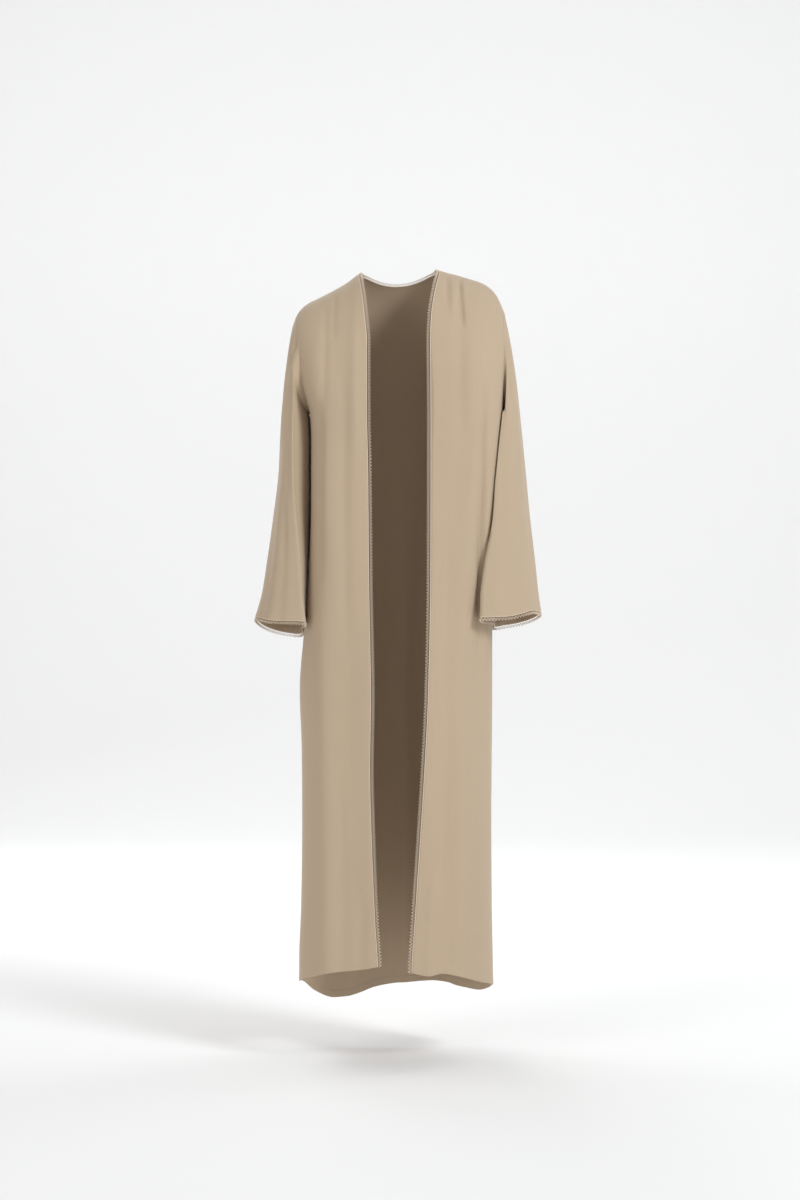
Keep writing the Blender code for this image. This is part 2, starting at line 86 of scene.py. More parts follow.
# How square a sleeve's section is below the armhole, where 2 is an ellipse: most of it, and the inner half of
# its front, which falls in
SLEEVE_SQUARE = 2.2
INNER_FRONT_SQUARE = 1.1


def table(columns, *rows):
    """A short table whose rows have named columns."""
    kind = namedtuple("Row", columns)
    return [kind(*row) for row in rows]


# The worn body by height: half widths at the two side seams, how far the front and the back stand out, and
# how square the section is on each side, where 2 is an ellipse
SECTIONS = table(
    "height right left front back right_square left_square",
    (-1.50, 0.198, 0.192, 0.126, 0.140, 2.5, 2.5),
    (-1.38, 0.198, 0.190, 0.124, 0.138, 2.5, 2.5),
    (-1.26, 0.194, 0.188, 0.122, 0.136, 2.5, 2.5),
    (-1.10, 0.192, 0.187, 0.121, 0.134, 2.5, 2.5),
    (-0.96, 0.193, 0.188, 0.120, 0.132, 2.5, 2.5),
    (-0.84, 0.197, 0.189, 0.120, 0.130, 2.5, 2.5),
    (-0.72, 0.188, 0.189, 0.120, 0.127, 2.8, 2.7),
    (-0.60, 0.178, 0.194, 0.121, 0.122, 3.5, 3.4),
    (-0.46, 0.173, 0.202, 0.123, 0.117, 4.2, 4.0),
    (-0.34, 0.173, 0.2065, 0.127, 0.115, 4.2, 4.7),
    (-0.285, 0.176, 0.2085, 0.129, 0.115, 4.4, 5.4),
    (-0.25, 0.190, 0.211, 0.129, 0.115, 4.1, 5.4),
    (-0.20, 0.204, 0.220, 0.128, 0.114, 3.6, 4.5),
    (-0.15, 0.217, 0.226, 0.124, 0.110, 3.0, 3.4),
    (-0.10, 0.216, 0.224, 0.117, 0.103, 2.6, 2.6),
    (0.02, 0.216, 0.224, 0.105, 0.098, 2.4, 2.4),
)

# The shoulder line of each side: the height of the top of the cloth, out from the middle
SHOULDERS = table(
    "out right left",
    (0.000, 0.0085, 0.0085),
    (0.030, 0.0065, 0.0088),
    (0.060, 0.0030, 0.0080),
    (0.080, -0.006, 0.003),
    (0.100, -0.021, -0.003),
    (0.120, -0.033, -0.008),
    (0.140, -0.044, -0.014),
    (0.160, -0.054, -0.020),
    (0.175, -0.061, -0.027),
    (0.187, -0.069, -0.036),
    (0.197, -0.079, -0.048),
    (0.203, -0.088, -0.059),
    (0.210, -0.104, -0.076),
    (0.216, -0.130, -0.097),
    (0.226, -0.200, -0.160),
)

# How far below the shoulder line the cloth has turned down the front or the back
TURNS = table(
    "out front back",
    (0.00, 0.150, 0.110),
    (0.09, 0.140, 0.105),
    (0.15, 0.115, 0.095),
    (0.21, 0.095, 0.090),
)

# The two front edges of the cloth, out from the middle, by height
EDGES = table(
    "height right left",
    (-1.45, 0.0400, 0.0270),
    (-1.39, 0.0402, 0.0277),
    (-1.29, 0.0460, 0.0337),
    (-1.15, 0.0520, 0.0430),
    (-0.99, 0.0560, 0.0530),
    (-0.86, 0.0542, 0.0595),
    (-0.62, 0.0580, 0.0645),
    (-0.39, 0.0600, 0.0650),
    (-0.30, 0.0620, 0.0650),
    (-0.15, 0.0622, 0.0640),
    (-0.10, 0.0665, 0.0660),
    (-0.06, 0.0710, 0.0715),
    (-0.03, 0.0755, 0.0775),
    (0.00, 0.0800, 0.0840),
    (0.02, 0.0800, 0.0840),
)

# The height of the hem by the share of the way round a panel, which starts at the front edge or the middle of
# the back and ends at the side seam
HEMS = table(
    "share front_right front_left back_right back_left",
    (0.00, -1.379, -1.391, -1.449, -1.449),
    (0.10, -1.385, -1.397, -1.457, -1.446),
    (0.20, -1.388, -1.393, -1.468, -1.444),
    (0.30, -1.391, -1.397, -1.475, -1.446),
    (0.40, -1.395, -1.403, -1.476, -1.452),
    (0.60, -1.406, -1.415, -1.459, -1.456),
    (0.80, -1.415, -1.423, -1.434, -1.446),
    (0.92, -1.421, -1.428, -1.427, -1.436),
    (1.00, -1.424, -1.431, -1.424, -1.431),
)

# The armhole rings: the top and the bottom of each, how far they stand to the front and the back, and how far
# they bow outwards above the underarm
Armhole = namedtuple("Armhole", "top_out top_height low_out low_height front back bow")
ARMHOLES = {
    "right": Armhole(0.2030, -0.088, 0.1760, -0.285, 0.084, 0.068, 0.005),
    "left": Armhole(0.2090, -0.0735, 0.2085, -0.285, 0.086, 0.068, 0.001),
}

# Each sleeve from the armhole to the cuff. outer, ridge, inner and heel are distances out from the middle: of
# the outside, the fold at the front, the side next to the body and the fold at the back. front and back are
# how far those two folds stand out, and back_drop is how much lower the back layer hangs.
SLEEVE_COLUMNS = "share outer_height inner_height outer ridge inner heel front back back_drop"
SLEEVES = {
    "right": table(
        SLEEVE_COLUMNS,
        (0.00, -0.088, -0.285, 0.2030, 0.1895, 0.1760, 0.1895, 0.084, 0.068, 0.000),
        (0.06, -0.116, -0.289, 0.2125, 0.2020, 0.1745, 0.189, 0.086, 0.069, 0.000),
        (0.14, -0.161, -0.296, 0.2195, 0.2055, 0.1700, 0.187, 0.088, 0.071, 0.000),
        (0.24, -0.225, -0.320, 0.2280, 0.2065, 0.1660, 0.184, 0.089, 0.074, 0.000),
        (0.36, -0.310, -0.370, 0.2355, 0.2070, 0.1650, 0.183, 0.090, 0.078, 0.001),
        (0.50, -0.400, -0.430, 0.2395, 0.2060, 0.1670, 0.184, 0.090, 0.082, 0.003),
        (0.64, -0.490, -0.505, 0.2500, 0.2000, 0.1710, 0.188, 0.090, 0.086, 0.006),
        (0.78, -0.575, -0.588, 0.2620, 0.1920, 0.1730, 0.194, 0.090, 0.089, 0.012),
        (0.90, -0.645, -0.660, 0.2730, 0.1880, 0.1800, 0.204, 0.090, 0.090, 0.019),
        (1.00, -0.692, -0.709, 0.2860, 0.1820, 0.1870, 0.214, 0.090, 0.090, 0.026),
    ),
    "left": table(
        SLEEVE_COLUMNS,
        (0.00, -0.0735, -0.285, 0.2090, 0.2088, 0.2085, 0.2088, 0.086, 0.068, 0.000),
        (0.06, -0.100, -0.289, 0.2165, 0.2095, 0.2090, 0.209, 0.088, 0.069, 0.000),
        (0.14, -0.150, -0.296, 0.2265, 0.2085, 0.2080, 0.207, 0.089, 0.071, 0.000),
        (0.24, -0.225, -0.320, 0.2380, 0.2035, 0.2060, 0.204, 0.090, 0.074, 0.000),
        (0.36, -0.310, -0.370, 0.2470, 0.1975, 0.2050, 0.202, 0.091, 0.078, 0.001),
        (0.50, -0.400, -0.430, 0.2560, 0.1925, 0.2020, 0.200, 0.094, 0.082, 0.003),
        (0.64, -0.490, -0.505, 0.2645, 0.1870, 0.1980, 0.198, 0.096, 0.085, 0.006),
        (0.78, -0.575, -0.588, 0.2745, 0.1710, 0.1930, 0.200, 0.100, 0.087, 0.010),
        (0.90, -0.645, -0.660, 0.2820, 0.1620, 0.1890, 0.206, 0.105, 0.088, 0.014),
        (1.00, -0.682, -0.702, 0.2870, 0.1610, 0.1870, 0.213, 0.108, 0.088, 0.018),
    ),
}

# The largest folds of the body: where each runs out from the middle, its ends, its width and its rise.
# A rise below zero is a trough.
FOLD_COLUMNS = "top_out low_out top_height low_height wide rise"
FOLDS = {
    "front_left": table(
        FOLD_COLUMNS,
        (0.132, 0.140, -0.02, -0.40, 0.020, -0.0045),
        (0.150, 0.146, -0.03, -0.75, 0.018, 0.0040),
        (0.163, 0.158, -0.38, -1.05, 0.022, -0.0060),
        (0.105, 0.085, -0.30, -1.60, 0.030, -0.0030),
        (0.130, 0.120, -0.90, -1.60, 0.026, 0.0040),
    ),
    "front_right": table(
        FOLD_COLUMNS,
        (0.118, 0.128, -0.05, -0.60, 0.026, -0.0040),
        (0.140, 0.146, -0.28, -1.00, 0.024, 0.0035),
        (0.095, 0.088, -0.55, -1.60, 0.030, -0.0035),
        (0.140, 0.135, -0.80, -1.60, 0.028, 0.0045),
    ),
    "back_left": table(
        FOLD_COLUMNS,
        (0.000, 0.015, -0.10, -1.60, 0.034, -0.0070),
        (0.062, 0.070, -0.12, -1.60, 0.032, 0.0060),
        (0.115, 0.125, -0.16, -1.60, 0.030, -0.0070),
    ),
    "back_right": table(
        FOLD_COLUMNS,
        (0.050, 0.062, -0.14, -1.60, 0.032, 0.0065),
        (0.100, 0.110, -0.12, -1.60, 0.030, -0.0060),
        (0.140, 0.148, -0.24, -1.60, 0.026, 0.0050),
    ),
}

# The finer creases of the body panels, in the same columns as the folds
CREASES = {
    "front_left": table(
        FOLD_COLUMNS,
        (0.1215, 0.1285, 0.005, -0.130, 0.0046, -0.0052),
        (0.0960, 0.0975, 0.010, -0.085, 0.0070, -0.0021),
        (0.1090, 0.1100, 0.010, -0.120, 0.0080, 0.0024),
        (0.1360, 0.1370, -0.05, -0.36, 0.0130, 0.0036),
        (0.1690, 0.1640, -0.20, -0.80, 0.0070, -0.0062),
        (0.1800, 0.1740, -0.30, -0.90, 0.0080, 0.0030),
        (0.1000, 0.0920, -0.50, -1.30, 0.0150, -0.0018),
        (0.0720, 0.0560, -1.16, -1.47, 0.0110, 0.0033),
        (0.1500, 0.1400, -1.05, -1.60, 0.0140, -0.0027),
    ),
    "front_right": table(
        FOLD_COLUMNS,
        (0.1060, 0.1030, -0.15, -0.80, 0.0120, -0.0025),
        (0.0860, 0.0840, -0.08, -0.42, 0.0100, 0.0018),
        (0.1260, 0.1290, -0.03, -0.16, 0.0070, -0.0019),
        (0.1420, 0.1480, -0.05, -0.30, 0.0090, -0.0027),
        (0.1560, 0.1520, -0.22, -0.66, 0.0100, -0.0036),
        (0.1500, 0.1380, -0.60, -1.50, 0.0150, 0.0024),
        (0.1150, 0.1080, -0.95, -1.60, 0.0130, -0.0023),
        (0.0700, 0.0760, -1.22, -1.46, 0.0120, -0.0027),
    ),
    "back_left": table(
        FOLD_COLUMNS,
        (0.0330, 0.0420, -0.30, -1.60, 0.0140, 0.0039),
        (0.0900, 0.0960, -0.10, -0.95, 0.0120, -0.0048),
        (0.1480, 0.1510, -0.20, -1.10, 0.0110, 0.0048),
        (0.1250, 0.1400, -0.02, -0.30, 0.0080, -0.0039),
    ),
    "back_right": table(
        FOLD_COLUMNS,
        (0.0280, 0.0250, -0.08, -0.85, 0.0120, 0.0035),
        (0.0780, 0.0860, -0.45, -1.60, 0.0140, -0.0043),
        (0.1220, 0.1280, -0.06, -0.90, 0.0100, 0.0043),
        (0.1380, 0.1500, -0.04, -0.34, 0.0080, -0.0039),
    ),
}

# The creases of the sleeves: where each runs round the sleeve, in degrees from the outside over the front,
# its ends as shares of the length, its width in degrees and its rise
SLEEVE_CREASE_COLUMNS = "top_turn low_turn top_share low_share wide rise"
SLEEVE_CREASES = {
    "right": table(
        SLEEVE_CREASE_COLUMNS,
        (62, 56, -0.03, 0.16, 8, -0.0042),
        (40, 34, 0.02, 0.45, 10, 0.0022),
        (78, 70, 0.10, 0.62, 9, -0.0028),
        (20, 24, 0.20, 0.90, 12, -0.0020),
        (50, 46, 0.45, 1.30, 7, 0.0022),
        (66, 60, 0.50, 1.30, 6, -0.0020),
        (30, 30, 0.60, 1.30, 6, -0.0013),
        (-40, -46, 0.02, 0.70, 13, -0.0037),
        (-70, -76, 0.10, 1.30, 14, 0.0040),
        (-110, -104, 0.25, 1.30, 12, -0.0035),
        (101, 99, 0.06, 1.30, 5, -0.0050),
        (89, 88, 0.06, 1.30, 6, 0.0020),
    ),
    "left": table(
        SLEEVE_CREASE_COLUMNS,
        (58, 60, -0.03, 0.30, 9, -0.0032),
        (36, 40, 0.02, 0.55, 10, 0.0022),
        (82, 76, 0.12, 0.80, 9, -0.0022),
        (22, 20, 0.30, 1.30, 9, -0.0018),
        (48, 44, 0.50, 1.30, 8, 0.0018),
        (64, 60, 0.62, 1.30, 8, -0.0015),
        (-38, -44, 0.02, 0.75, 12, -0.0037),
        (-66, -74, 0.08, 1.30, 13, 0.0037),
        (-104, -100, 0.22, 1.30, 12, -0.0032),
    ),
}

# Where a cuff edge lifts or drops: its place round the cuff and its width in degrees, its rise, and how much
# of the sleeve's length it takes
CUFF_LIFTS = table(
    "side turn wide rise reach",
    ("left", 34, 16, 0.0050, 0.10),
    ("left", 66, 14, -0.0025, 0.10),
    ("right", 52, 18, -0.0030, 0.10),
)

# The cut of each panel, laid flat: its width and its length with the turned hems, and its area
Cut = namedtuple("Cut", "width length area")

# The looped trim: the length of one loop, and then, outwards from the edge of the cloth, the folded edge, the
# cord that loops from near to far, and the picots
TRIM_PITCH = 0.0064
FOLD_MIDDLE = 0.0004
FOLD_HALF_WIDE = 0.0010
FOLD_HALF_HIGH = 0.0009
CORD_NEAR = 0.0033
CORD_FAR = 0.0068
CORD_RADIUS = 0.00098
PICOT_MIDDLE = 0.0074
PICOT_HALF_LONG = 0.0014
PICOT_RADIUS = 0.0013

# How deep the surface of the crepe and of the thread looks
CREPE_DEPTH = 0.00018
THREAD_DEPTH = 0.00012

# The lamps: where each stands, where it points, how wide it is, the setting that gives its power, and the
# share of that power that it takes. The backdrop has a high and a low lamp at each side.
COOL = (0.95, 0.975, 1.0)
WARM = (1.0, 0.97, 0.93)
WHITE = (1.0, 1.0, 1.0)
LAMPS = table(
    "name place aim size power share colour",
    ("key_light", (2.9, -3.0, 1.8), (0, 0, -0.35), 1.5, "key_power", 1, COOL),
    ("fill_light", (-2.8, -3.2, 0.9), (0, 0, -0.2), 2.0, "fill_power", 1, WARM),
    ("back_light", (-1.4, 3.6, 1.8), (0, 0, -0.6), 2.4, "fill_power", 1, COOL),
    ("backdrop_light_0", (-2.6, 2.0, 2.6), (-1.04, 6.8, -0.6), 3.0, "backdrop_power", 1, WHITE),
    ("backdrop_light_0_low", (-2.6, 1.6, 2.2), (-1.04, 4.6, -1.6), 2.4, "backdrop_power", 0.46, WHITE),
    ("backdrop_light_1", (2.6, 2.0, 2.6), (1.04, 6.8, -0.6), 3.0, "backdrop_power", 1, WHITE),
    ("backdrop_light_1_low", (2.6, 1.6, 2.2), (1.04, 4.6, -1.6), 2.4, "backdrop_power", 0.46, WHITE),
)

# The camera stands level in front of the garment
CAMERA_PLACE = (0.004, -5.0, -0.659)
CAMERA_LENS = 74.63
CAMERA_SENSOR = 36.0


def along(rows, column, key_column, key):
    """The smooth value of one column where another column has the value key."""
    keys = np.array([getattr(row, key_column) for row in rows])
    values = np.array([getattr(row, column) for row in rows])
    steps = np.diff(values) / np.diff(keys)
    same_way = steps[:-1] * steps[1:] > 0
    total = np.where(same_way, steps[:-1] + steps[1:], 1)
    middle = np.where(same_way, 2 * steps[:-1] * steps[1:] / total, 0)
    slopes = np.concatenate([steps[:1], middle, steps[-1:]])
    key = np.clip(key, keys[0], keys[-1])
    i = np.clip(np.searchsorted(keys, key, side="right") - 1, 0, len(keys) - 2)
    span = keys[i + 1] - keys[i]
    t = (key - keys[i]) / span
    start = values[i] * (1 + 2 * t) * (1 - t) ** 2 + slopes[i] * span * t * (1 - t) ** 2
    end = values[i + 1] * t * t * (3 - 2 * t) + slopes[i + 1] * span * t * t * (t - 1)
    return start + end


def fade(value, start, end):
    """A smooth step from 0 at start to 1 at end."""
    t = np.clip((value - start) / (end - start), 0, 1)
    return t * t * (3 - 2 * t)


def mix(first, second, share):
    return first + (second - first) * share


def turned_down(drop, reach):
    """How far the cloth has come forward a given drop below the shoulder line, from 0 to 1."""
    left = 1 - np.clip(drop / reach, 0, 1)
    return np.sqrt(1 - left * left)


def from_ring_middle(side, height):
    """A height as a share of half the armhole's height, above or below its middle."""
    ring = ARMHOLES[side]
    middle = (ring.top_height + ring.low_height) / 2
    half = (ring.top_height - ring.low_height) / 2
    return (height - middle) / half


def armhole_stand(side, face, height):
    """How far the armhole ring stands to the front or the back at a height."""
    return getattr(ARMHOLES[side], face) * np.sqrt(np.clip(1 - from_ring_middle(side, height) ** 2, 0, 1))


def armhole_bow(side, share):
    """How far the ring bows outwards, a share of the way down from its top."""
    return ARMHOLES[side].bow * np.sin(np.pi * np.clip(share, 0, 1) ** 2.2)


def armhole_out(side, height):
    """How far out the armhole ring is at a height."""
    ring = ARMHOLES[side]
    share = (ring.top_height - height) / (ring.top_height - ring.low_height)
    return mix(ring.top_out, ring.low_out, share) + armhole_bow(side, share)


def seam_place(side, face, height):
    """Where the panel's last edge is at a height: the armhole above the underarm, the side seam below it."""
    ring = ARMHOLES[side]
    on_ring = height > ring.low_height
    out = np.where(on_ring, armhole_out(side, height), along(SECTIONS, side, "height", height))
    return out, np.where(on_ring, armhole_stand(side, face, height), 0)


def place_out(side, face, share, height, first_out):
    """The distance out and the stand of the points a share of the way along the level section at a height."""
    width = along(SECTIONS, side, "height", height)
    depth = along(SECTIONS, face, "height", height)
    square = along(SECTIONS, side + "_square", "height", height)
    below_top = np.minimum(height, ARMHOLES[side].top_height - 0.003)
    near_out, near_stand = seam_place(side, face, below_top)
    near_drop = np.maximum(along(SHOULDERS, side, "out", near_out) - below_top, 1e-9)
    near_turned = turned_down(near_drop, along(TURNS, face, "out", near_out))
    ratio = np.clip(near_stand / (depth * near_turned), 0, 0.95)
    last = np.arccos(ratio ** (square / 2))
    first = np.arcsin(np.clip(first_out(height) / width, 0, 0.99) ** (square / 2))
    angle = mix(first, last, share)
    pull = (near_out / (width * np.sin(last) ** (2 / square)) - 1) * share**2
    out = width * np.sin(angle) ** (2 / square) * (1 + pull)
    drop = np.maximum(along(SHOULDERS, side, "out", out) - height, 0)
    stand = depth * np.cos(angle) ** (2 / square) * turned_down(drop, along(TURNS, face, "out", out))
    seam_out, seam_stand = seam_place(side, face, height)
    return np.where(share >= 1, seam_out, out), np.where(share >= 1, seam_stand, stand)


def body_point(side, face, share, down, first_out, last_hem, top_drop):
    """A point of the body's middle surface, as arrays out, stand and height.

    share runs from first_out, a function of height, to the armhole and the side seam. down runs from the
    shoulder line, or top_drop below it, to the hem.
    """
    ring = ARMHOLES[side]
    out = mix(0.08, ring.top_out, share)
    for _ in range(12):
        top = along(SHOULDERS, side, "out", out) - top_drop(out)
        top = np.where(share >= 1, ring.top_height, top)
        out = place_out(side, face, share, top, first_out)[0]
    height = mix(top, last_hem, down)
    out, stand = place_out(side, face, share, height, first_out)
    return out, stand, height


def fold_rise(folds, out, height):
    """The rise of one panel's folds or creases at these points."""
    rise = np.zeros_like(out)
    for fold in folds:
        share = np.clip((fold.top_height - height) / (fold.top_height - fold.low_height), 0, 1)
        centre = mix(fold.top_out, fold.low_out, share)
        ends = fade(share, 0.0, 0.25) * (1 - fade(share, 0.75, 1.0))
        rise += fold.rise * ends * np.exp(-(((out - centre) / fold.wide) ** 2))
    return rise


def grid_normals(points, round_closed=False):
    """Unit normals of a grid of points, from the differences along its rows and columns."""
    if round_closed:
        across = np.roll(points, -1, axis=1) - np.roll(points, 1, axis=1)
    else:
        across = np.gradient(points, axis=1)
    down = np.gradient(points, axis=0)
    normals = np.cross(across, down)
    return normals / np.maximum(np.linalg.norm(normals, axis=2, keepdims=True), 1e-12)


def unit(vectors):
    return vectors / np.maximum(np.linalg.norm(vectors, axis=-1, keepdims=True), 1e-12)


def ring_point(side, angle):
    """The armhole ring at an angle: 0 at the top, a quarter turn at the front, half a turn at the bottom."""
    ring = ARMHOLES[side]
    height = mix(ring.top_height, ring.low_height, (1 - np.cos(angle)) / 2)
    stand = np.where(np.sin(angle) >= 0, ring.front, ring.back) * np.sin(angle)
    return np.stack([WAYS[side] * armhole_out(side, height), -stand, height], axis=-1)


def ring_normal(side, angle):
    """The outward normal that the body and the sleeve share at an angle round the armhole.

    It leans out to the side most at the top, where the cloth turns over the shoulder.
    """
    ring = ARMHOLES[side]
    step, most_lean = 0.02, 1.15
    tangent = unit(ring_point(side, angle + step) - ring_point(side, angle - step))
    half = (ring.top_height - ring.low_height) / 2
    stand = np.where(np.sin(angle) >= 0, ring.front, ring.back)
    flat = unit(np.stack([0 * angle, -np.sin(angle) / stand, np.cos(angle) / half], axis=-1))
    lean = most_lean * (1 + np.cos(angle)) / 2
    normal = flat + lean[..., None] * np.array([WAYS[side], 0, 0])
    return unit(normal - (normal * tangent).sum(axis=-1, keepdims=True) * tangent)


def ring_angle(side, face, height):
    """The angle round the armhole of a height on its front or its back."""
    angle = np.arccos(np.clip(from_ring_middle(side, height), -1, 1))
    return angle if face == "front" else -angle


def panel_rows(side):
    """Row positions from the shoulder to the hem: even round the armhole, and closer together at the hem."""
    ring = ARMHOLES[side]
    hem = getattr(HEMS[-1], "front_" + side)
    low = (ring.top_height - ring.low_height) / (ring.top_height - hem)
    upper = low * (1 - np.cos(np.linspace(0, np.pi, ARMHOLE_HALF + 1))) / 2
    below = np.linspace(0, 1, BODY_DOWN - ARMHOLE_HALF - 5)[1:]
    hem_rows = [0.9885, 0.9895, 0.9905, 0.9955, 0.9985, 0.9996, 1.0]
    below = np.concatenate([below[below < 0.986], hem_rows])
    return np.concatenate([upper, low + (1 - low) * below])


def close_to_seam(shares):
    """Adds columns close to a panel's last edge, where the cloth turns in at the seam."""
    return np.concatenate([shares[:-1], [1 - 0.009, 1 - 0.004, 1.0]])


def half_panel(side, face, shares, first_out, hem_columns, top_drop):
    """Middle points and normals of one half of the body, from its first edge to the armhole and side seam."""
    way, ahead = WAYS[side], AHEADS[face]
    rows = panel_rows(side)
    share, down = np.meshgrid(shares, rows)
    hem = along(HEMS, hem_columns, "share", share)
    out, stand, height = body_point(side, face, share, down, first_out, hem, top_drop)
    points = np.stack([way * out, ahead * stand, height], axis=2)
    normals = grid_normals(points)
    normals *= np.sign(normals[:, :1, 1:2] * ahead)
    edge_fade = 1 - fade(share, 0.86, 1.0)
    panel = f"{face}_{side}"
    rise = fold_rise(FOLDS[panel], out, height) + fold_rise(CREASES[panel], out, height)
    points = points + normals * (rise * edge_fade * fade(down, 0.0, 0.02))[..., None]
    normals = grid_normals(points)
    return points, normals * np.sign(normals[:, :1, 1:2] * ahead)


def meet_at_side(points, normals, side, face):
    """Gives the armhole and side seam column the normals that both pieces at the seam share."""
    way = WAYS[side]
    height = points[:, -1, 2]
    on_ring = height >= ARMHOLES[side].low_height - SAME_PLACE
    slope = np.gradient(points[:, -1, 0], height)
    plain = unit(np.stack([np.full_like(slope, way), 0 * slope, -way * slope], axis=1))
    shared = ring_normal(side, ring_angle(side, face, height))
    normals[:, -1] = np.where(on_ring[:, None], shared, plain)


def meet_at_shoulder(points, normals, columns, side):
    """Puts the shoulder seam row on the shoulder line, with the normals that both pieces there share."""
    reach = 0.004
    for column in columns:
        out = abs(points[0, column, 0])
        near = along(SHOULDERS, side, "out", np.array([out - reach, out + reach]))
        slope = (near[1] - near[0]) / (2 * reach)
        normals[0, column] = unit(np.array([-WAYS[side] * slope, 0, 1.0]))
        points[0, column, 1] = 0
    normals[0, -1] = ring_normal(side, np.array(0.0))


def back_neck_drop(side):
    """How far the back neckline is below the shoulder line, as a function of how far out it is."""
    neck_out = getattr(EDGES[-1], side)
    return lambda out: NECK_BEHIND * np.clip(1 - (out / neck_out) ** 2, 0, 1)


def clear_of_body(side, out, stand, height):
    """Moves sleeve points out until they are just clear of the body, or of the armhole above the underarm."""
    width = along(SECTIONS, side, "height", height)
    front_depth = along(SECTIONS, "front", "height", height)
    depth = np.where(stand > 0, front_depth, along(SECTIONS, "back", "height", height))
    square = along(SECTIONS, side + "_square", "height", height)
    inside = ((out / width) ** square + (np.abs(stand) / depth) ** square) ** (1 / square)
    radius = np.hypot(out, stand)
    grow = np.maximum((radius / inside + SLEEVE_CLEAR) / radius, 1)
    below = height < ARMHOLES[side].low_height
    beside = np.maximum(out, armhole_out(side, height) + SLEEVE_CLEAR)
    return np.where(below, out * grow, beside), np.where(below, stand * grow, stand)


def tuck_seams(points, normals, edges):
    """Turns the last line of cloth at each seam in by the seam tuck."""
    for edge in edges:
        points[edge] -= normals[edge] * SEAM_TUCK


@lru_cache(maxsize=None)
def front_grid(side):
    """A front, from its front edge to the armhole and the side seam."""
    shares = close_to_seam(np.linspace(0, 1, FRONT_ROUND + 1))
    edge = lambda height: along(EDGES, side, "height", height)
    points, normals = half_panel(side, "front", shares, edge, "front_" + side, lambda out: 0 * out)
    meet_at_side(points, normals, side, "front")
    meet_at_shoulder(points, normals, range(len(shares) - 1), side)
    tuck_seams(points, normals, (np.s_[:, -1], np.s_[0, :-1]))
    return points, normals


@lru_cache(maxsize=None)
def back_grid():
    """The back in one piece, from the right side seam over the middle to the left one."""
    halves = []
    zero = lambda height: 0 * height
    dense = np.linspace(0, 1, 201)
    neck_cells = NECK_ROUND // 2
    for side in WAYS:
        top_out = body_point(side, "back", dense, 0 * dense, zero, last_hem=0, top_drop=zero)[0]
        neck_share = np.interp(getattr(EDGES[-1], side), top_out, dense)
        shoulder = np.linspace(neck_share, 1, SHOULDER_ROUND + 1)[1:]
        shares = close_to_seam(np.concatenate([np.linspace(0, neck_share, neck_cells + 1), shoulder]))
        points, normals = half_panel(side, "back", shares, zero, "back_" + side, back_neck_drop(side))
        meet_at_side(points, normals, side, "back")
        meet_at_shoulder(points, normals, range(neck_cells, len(shares) - 1), side)
        tuck_seams(points, normals, (np.s_[:, -1], np.s_[0, neck_cells + 1 : -1]))
        halves.append((points, normals))
    (right, right_normals), (left, left_normals) = halves
    middle = (right[:, :1] + left[:, :1]) / 2
    points = np.concatenate([right[:, :0:-1], middle, left[:, 1:]], axis=1)
    middle_normal = unit(right_normals[:, :1] + left_normals[:, :1])
    normals = np.concatenate([right_normals[:, :0:-1], middle_normal, left_normals[:, 1:]], axis=1)
    return points, normals


def sleeve_rows():
    """Ring positions from the armhole to the cuff, closer together at both ends."""
    rows = np.linspace(0, 1, SLEEVE_DOWN - 4)
    rows = 0.7 * rows + 0.3 * rows**1.5
    armhole = [0, 0.0016, 0.004]
    cuff = [0.980, 0.9815, 0.983, 0.991, 0.998, 1.0]
    return np.concatenate([armhole, rows[(rows > 0.006) & (rows < 0.978)], cuff])


@lru_cache(maxsize=None)
def sleeve_grid(side):
    """A sleeve as rings from the armhole to the cuff."""
    rings = SLEEVES[side]
    angles = np.arange(2 * ARMHOLE_HALF) * np.pi / ARMHOLE_HALF
    angle, share = np.meshgrid(angles, sleeve_rows())
    value = {name: along(rings, name, "share", share) for name in SLEEVE_COLUMNS.split()[1:]}
    cos, sin = np.cos(angle), np.sin(angle)
    plain = (value["outer"] + value["inner"]) / 2
    ridge = np.where(sin > 0, value["ridge"], value["heel"])
    lean = fade(share, 0.0, 0.12)
    ridge = mix(plain, ridge, lean)
    plain_square = mix(2.0, SLEEVE_SQUARE, lean)
    inner_square = np.where(sin > 0, mix(2.0, INNER_FRONT_SQUARE, lean), plain_square)
    square = np.where(cos >= 0, plain_square, inner_square)
    reach = np.where(cos >= 0, value["outer"] - ridge, value["inner"] - ridge)
    out = ridge + reach * np.abs(cos) ** (2 / square)
    stand = np.where(sin > 0, value["front"], value["back"]) * np.abs(sin) ** (2 / square) * np.sign(sin)
    height = mix(value["outer_height"], value["inner_height"], (1 - cos) / 2)
    height -= value["back_drop"] * np.clip(-sin, 0, 1)
    for lift in (row for row in CUFF_LIFTS if row.side == side):
        turned = (np.degrees(angle) - lift.turn) / lift.wide
        height += lift.rise * np.exp(-(turned**2)) * fade(share, 1 - lift.reach, 1.0)
    out += armhole_bow(side, (1 - cos) / 2) * (1 - fade(share, 0.0, 0.22))
    cleared_out, cleared_stand = clear_of_body(side, out, stand, height)
    ramp = fade(share, 0.0, 0.04)
    out, stand = mix(out, cleared_out, ramp), mix(stand, cleared_stand, ramp)
    points = np.stack([WAYS[side] * out, -stand, height], axis=2)
    centre = points.mean(axis=1, keepdims=True)
    normals = grid_normals(points, True)
    turn_out = np.sign(np.median((normals * (points - centre)).sum(axis=2)))
    normals *= turn_out
    rise = sleeve_rise(side, np.degrees(angle), share) * fade(share, 0.0, 0.03)
    points += normals * rise[..., None]
    normals = grid_normals(points, True) * turn_out
    normals[0] = ring_normal(side, angles)
    tuck_seams(points, normals, (np.s_[0, :],))
    return points, normals


